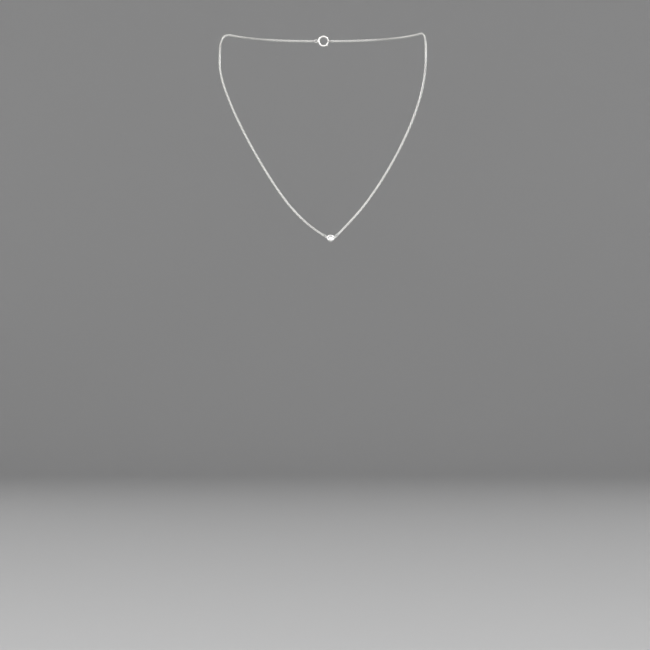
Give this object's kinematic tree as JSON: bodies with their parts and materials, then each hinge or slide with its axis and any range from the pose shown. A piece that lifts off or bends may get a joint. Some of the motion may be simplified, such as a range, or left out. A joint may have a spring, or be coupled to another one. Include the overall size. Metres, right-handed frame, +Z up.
{
  "type": "pendant necklace",
  "caption": "Fine cable chain necklace with a bezel-set round stone pendant, closed by a spring-ring clasp.",
  "frame": {"origin": "middle of the clasp at the nape, where the wearer's neck holds the chain up", "axes": "+Z up; -Y the way the wearer and the stone face; +X to the wearer's left"},
  "size_m": [0.1043, 0.0647, 0.1089],
  "materials": {
    "silver_chain": "polished",
    "bezel_silver": "polished",
    "clasp_silver": "gloss",
    "spring_steel": "satin",
    "clear_stone": "polished"
  },
  "bodies": {
    "neck_chain": {"chain_neck_left_1": "silver_chain", "chain_neck_left_2": "silver_chain", "chain_neck_left_3": "silver_chain", "chain_neck_left_4": "silver_chain", "chain_neck_left_5": "silver_chain", "chain_neck_right_1": "silver_chain", "chain_neck_right_2": "silver_chain", "chain_neck_right_3": "silver_chain", "chain_neck_right_4": "silver_chain", "chain_neck_right_5": "silver_chain"},
    "clasp": {"catch_ring": "clasp_silver", "clasp_eyelet": "clasp_silver", "clasp_spring": "spring_steel", "clasp_tube": "clasp_silver", "end_ring": "clasp_silver"},
    "bolt": {"clasp_bolt": "clasp_silver"},
    "front_fold_1": {"chain_front_left_1": "silver_chain", "chain_front_right_1": "silver_chain"},
    "front_fold_2": {"chain_front_left_2": "silver_chain", "chain_front_right_2": "silver_chain"},
    "front_fold_3": {"chain_front_left_3": "silver_chain", "chain_front_right_3": "silver_chain"},
    "front_fold_4": {"chain_front_left_4": "silver_chain", "chain_front_right_4": "silver_chain"},
    "front_fold_5": {"chain_front_left_5": "silver_chain", "chain_front_right_5": "silver_chain"},
    "front_fold_6": {"chain_front_left_6": "silver_chain", "chain_front_right_6": "silver_chain"},
    "front_fold_7": {"chain_front_left_7": "silver_chain", "chain_front_right_7": "silver_chain"},
    "front_fold_8": {"chain_front_left_8": "silver_chain", "chain_front_right_8": "silver_chain"},
    "pendant_rings": {"pendant_ring_left": "silver_chain", "pendant_ring_right": "silver_chain"},
    "pendant": {"bezel_cup": "bezel_silver", "round_stone": "clear_stone"}
  },
  "joints": [
    {"name": "clasp_flip", "type": "hinge", "parent": "neck_chain", "child": "clasp", "pos_m": [0, 0, 0], "axis": [1, 0, 0], "range_deg": [-60, 60]},
    {"name": "bolt_draw", "type": "hinge", "parent": "clasp", "child": "bolt", "pos_m": [0, 0, 0], "axis": [0, 1, 0], "range_deg": [0, 66], "stiffness_Nm_per_rad": 0.0027, "springref_deg": -20.05, "deforming": ["clasp_spring"]},
    {"name": "chain_fold_1", "type": "hinge", "parent": "neck_chain", "child": "front_fold_1", "pos_m": [-0.00035, -0.0612, -0.01502], "axis": [-0.9995, 0, -0.0319], "range_deg": [-60, 60]},
    {"name": "chain_fold_2", "type": "hinge", "parent": "front_fold_1", "child": "front_fold_2", "pos_m": [0.00001, -0.0612, -0.02752], "axis": [-1, 0, -0.0084], "range_deg": [-60, 60]},
    {"name": "chain_fold_3", "type": "hinge", "parent": "front_fold_2", "child": "front_fold_3", "pos_m": [0.00066, -0.0612, -0.03953], "axis": [-1, 0, -0.0045], "range_deg": [-60, 60]},
    {"name": "chain_fold_4", "type": "hinge", "parent": "front_fold_3", "child": "front_fold_4", "pos_m": [0.00107, -0.0612, -0.05113], "axis": [-1, 0, -0.0007], "range_deg": [-60, 60]},
    {"name": "chain_fold_5", "type": "hinge", "parent": "front_fold_4", "child": "front_fold_5", "pos_m": [0.0016, -0.0612, -0.06288], "axis": [-0.9999, 0, -0.0116], "range_deg": [-60, 60]},
    {"name": "chain_fold_6", "type": "hinge", "parent": "front_fold_5", "child": "front_fold_6", "pos_m": [0.00173, -0.0612, -0.07379], "axis": [-0.9999, 0, -0.0115], "range_deg": [-60, 60]},
    {"name": "chain_fold_7", "type": "hinge", "parent": "front_fold_6", "child": "front_fold_7", "pos_m": [0.0018, -0.0612, -0.08426], "axis": [-0.9999, 0, -0.0131], "range_deg": [-60, 60]},
    {"name": "chain_fold_8", "type": "hinge", "parent": "front_fold_7", "child": "front_fold_8", "pos_m": [0.002, -0.0612, -0.09389], "axis": [-1, 0, -0.0075], "range_deg": [-60, 60]},
    {"name": "jump_rings_swing", "type": "hinge", "parent": "front_fold_8", "child": "pendant_rings", "pos_m": [0.00349, -0.0612, -0.10225], "axis": [-0.9993, 0, -0.0378], "range_deg": [-50, 50]},
    {"name": "pendant_swing", "type": "hinge", "parent": "pendant_rings", "child": "pendant", "pos_m": [0.0036, -0.0612, -0.10306], "axis": [-1, 0, 0], "range_deg": [-50, 50]}
  ]
}
